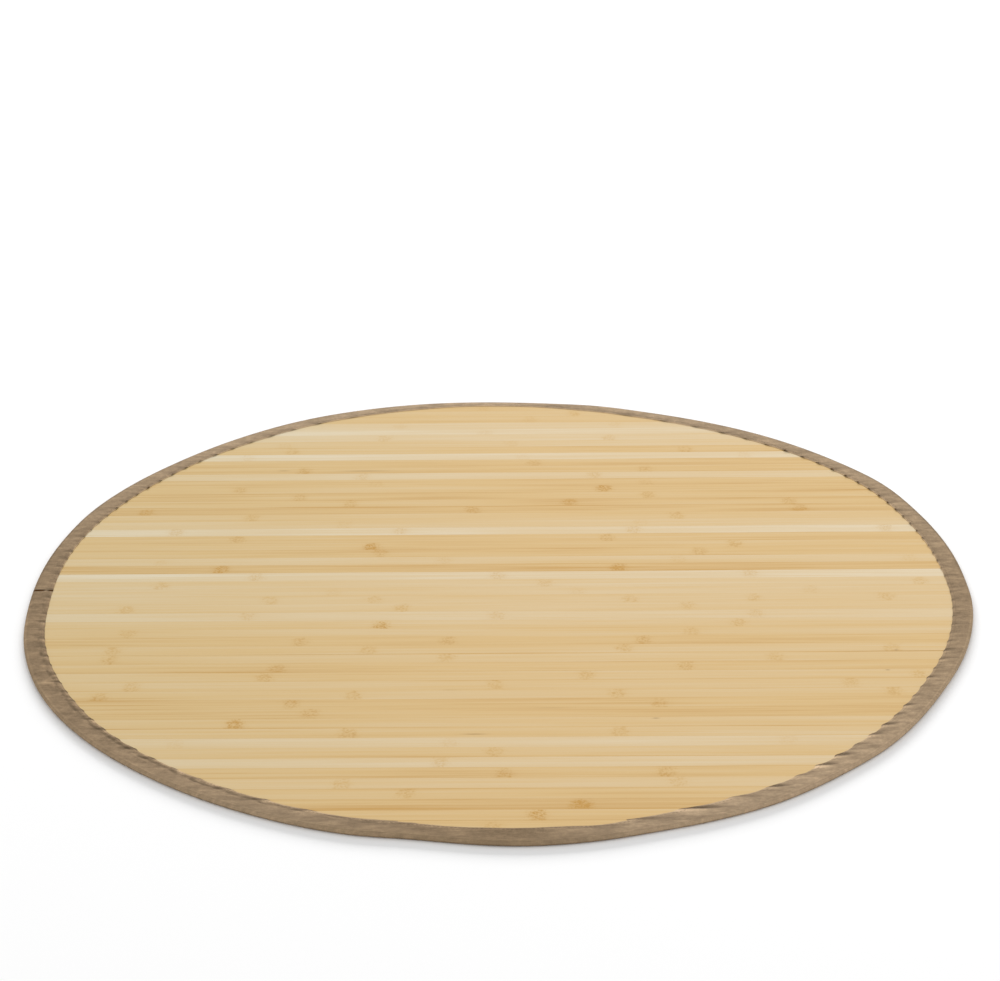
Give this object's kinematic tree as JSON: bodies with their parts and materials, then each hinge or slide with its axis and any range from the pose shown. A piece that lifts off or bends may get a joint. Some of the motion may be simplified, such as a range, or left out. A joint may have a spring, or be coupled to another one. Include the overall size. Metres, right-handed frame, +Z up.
{
  "type": "round bamboo rug",
  "caption": "Thin round rug of bamboo slats laid side by side, with a taupe cloth tape folded over the rim; lies flat on a floor.",
  "frame": {"origin": "middle of the underside, on the floor", "axes": "+Z up out of the top face, +X along the slats, +Y towards the back of the picture"},
  "size_m": [0.9958, 0.9964, 0.0064],
  "materials": {
    "bamboo": "satin lacquered bamboo, straw to honey, with grain streaks and node marks",
    "tape_cloth": "matt taupe plain-weave cotton tape",
    "backing_cloth": "matt dark felt"
  },
  "bodies": {
    "root": {"slat_01": "bamboo", "slat_02": "bamboo", "slat_03": "bamboo", "slat_04": "bamboo", "slat_05": "bamboo", "slat_06": "bamboo", "slat_07": "bamboo", "slat_08": "bamboo", "slat_09": "bamboo", "slat_10": "bamboo", "slat_11": "bamboo", "slat_12": "bamboo", "slat_13": "bamboo", "slat_14": "bamboo", "slat_15": "bamboo", "slat_16": "bamboo", "slat_17": "bamboo", "slat_18": "bamboo", "slat_19": "bamboo", "slat_20": "bamboo", "slat_21": "bamboo", "slat_22": "bamboo", "slat_23": "bamboo", "slat_24": "bamboo", "slat_25": "bamboo", "slat_26": "bamboo", "slat_27": "bamboo", "slat_28": "bamboo", "slat_29": "bamboo", "slat_30": "bamboo", "slat_31": "bamboo", "slat_32": "bamboo", "slat_33": "bamboo", "slat_34": "bamboo", "slat_35": "bamboo", "slat_36": "bamboo", "slat_37": "bamboo", "slat_38": "bamboo", "slat_39": "bamboo", "slat_40": "bamboo", "slat_41": "bamboo", "slat_42": "bamboo", "slat_43": "bamboo", "slat_44": "bamboo", "slat_45": "bamboo", "slat_46": "bamboo", "slat_47": "bamboo", "slat_48": "bamboo", "slat_49": "bamboo", "slat_50": "bamboo", "slat_51": "bamboo", "slat_52": "bamboo", "slat_53": "bamboo", "slat_54": "bamboo", "slat_55": "bamboo", "backing": "backing_cloth", "binding": "tape_cloth"}
  },
  "joints": []
}
